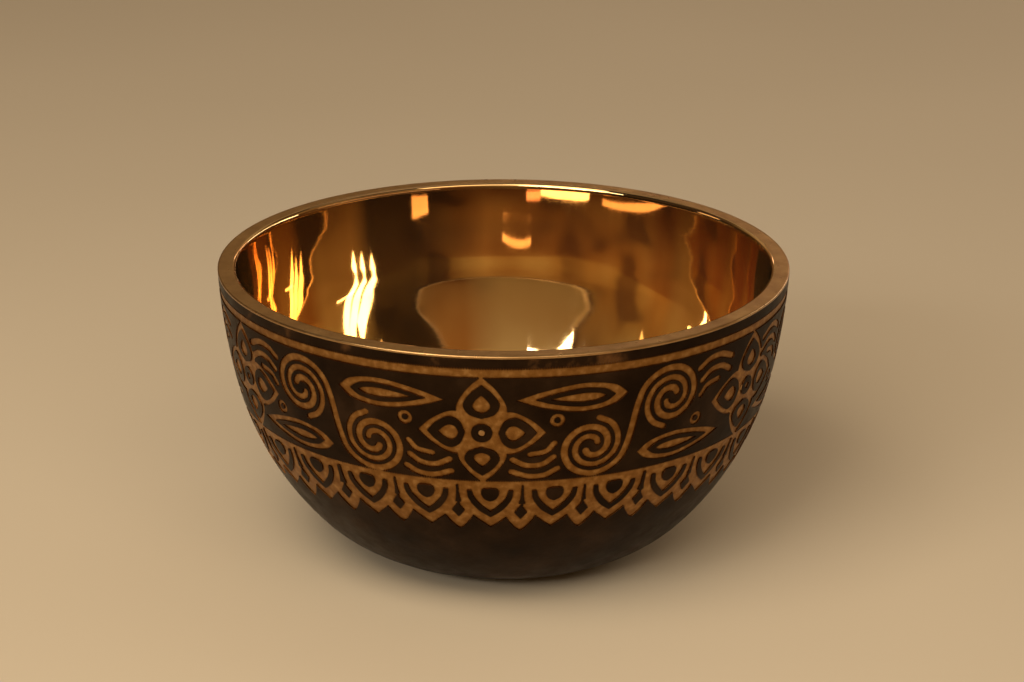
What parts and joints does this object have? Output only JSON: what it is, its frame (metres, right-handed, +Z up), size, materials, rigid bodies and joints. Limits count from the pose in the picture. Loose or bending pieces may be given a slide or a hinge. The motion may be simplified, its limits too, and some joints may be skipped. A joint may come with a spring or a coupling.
{
  "type": "singing bowl",
  "caption": "Cast bronze singing bowl, round bellied with a flat rim and a small flat foot, polished inside, black coated outside with a chiselled flower and petal frieze",
  "frame": {"origin": "on the surface it stands on, at the middle of the flat foot", "axes": "+Z up out of the mouth, -Y the front of the bowl, +X to the right of a person facing the front"},
  "size_m": [0.12, 0.12, 0.0623],
  "materials": {
    "bronze": "mirror polished inside, satin on the flat rim, chisel marked where the ornament is cut",
    "black_coat": "thin satin black-brown coat, lightly worn"
  },
  "bodies": {
    "root": {"bronze_bowl": "bronze", "coat_rim_band": "black_coat", "coat_frieze_ground": "black_coat", "coat_flower_eyes": "black_coat", "coat_flower_petals": "black_coat", "coat_leaf_fields": "black_coat", "coat_lower_bowl": "black_coat", "coat_petal_fields": "black_coat", "coat_petal_hearts": "black_coat", "coat_petal_diamonds": "black_coat"}
  },
  "joints": []
}
